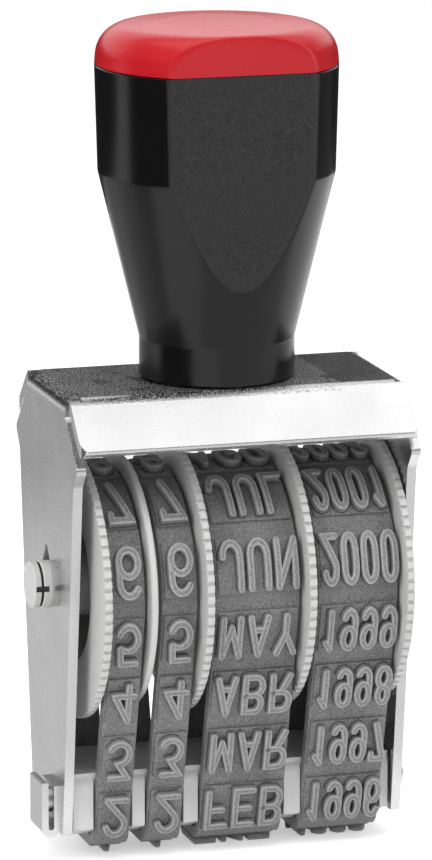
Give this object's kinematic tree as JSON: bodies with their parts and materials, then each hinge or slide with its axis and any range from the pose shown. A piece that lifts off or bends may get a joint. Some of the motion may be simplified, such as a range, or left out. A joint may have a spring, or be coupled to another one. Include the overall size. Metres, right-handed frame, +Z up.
{
  "type": "date stamp",
  "caption": "Hand-held date stamp with rubber type bands on knurled thumbwheels in a folded steel frame under a round plastic handle.",
  "frame": {"origin": "on the plane of the printing type, below the centre of the object's box, which is also below the handle's axis", "axes": "+X across the bands from the day to the year, +Y from the front to the back, +Z up along the handle"},
  "size_m": [0.0408, 0.0284, 0.0876],
  "materials": {
    "plated_steel": "satin plated",
    "handle_plastic": "semi-gloss, fine grain on the flats",
    "cap_plastic": "glossy",
    "insert_brass": "turned",
    "fastener_steel": "plated",
    "wheel_plastic": "satin",
    "band_rubber": "matte",
    "bridge_plastic": "satin"
  },
  "bodies": {
    "body": {"frame": "plated_steel", "handle": "handle_plastic", "handle_cap": "cap_plastic", "handle_insert": "insert_brass", "handle_screw": "fastener_steel", "screw_washer": "fastener_steel", "axle": "fastener_steel", "axle_end_left": "wheel_plastic", "axle_end_right": "wheel_plastic", "thrust_washer": "wheel_plastic", "spacer_disc": "wheel_plastic", "tens_band": "band_rubber", "units_band": "band_rubber", "month_band": "band_rubber", "year_band": "band_rubber", "bridge": "bridge_plastic", "bridge_rod": "fastener_steel", "bridge_clip_left": "fastener_steel", "bridge_clip_right": "fastener_steel"},
    "tens_thumbwheel": {"tens_wheel": "wheel_plastic"},
    "units_thumbwheel": {"units_wheel": "wheel_plastic"},
    "month_thumbwheel": {"month_wheel": "wheel_plastic"},
    "year_thumbwheel": {"year_wheel": "wheel_plastic"}
  },
  "joints": [
    {"name": "tens_turn", "type": "hinge", "parent": "body", "child": "tens_thumbwheel", "pos_m": [0, 0, 0.0287], "axis": [1, 0, 0], "continuous": true},
    {"name": "units_turn", "type": "hinge", "parent": "body", "child": "units_thumbwheel", "pos_m": [0, 0, 0.0287], "axis": [1, 0, 0], "continuous": true},
    {"name": "month_turn", "type": "hinge", "parent": "body", "child": "month_thumbwheel", "pos_m": [0, 0, 0.0287], "axis": [1, 0, 0], "continuous": true},
    {"name": "year_turn", "type": "hinge", "parent": "body", "child": "year_thumbwheel", "pos_m": [0, 0, 0.0287], "axis": [1, 0, 0], "continuous": true}
  ]
}
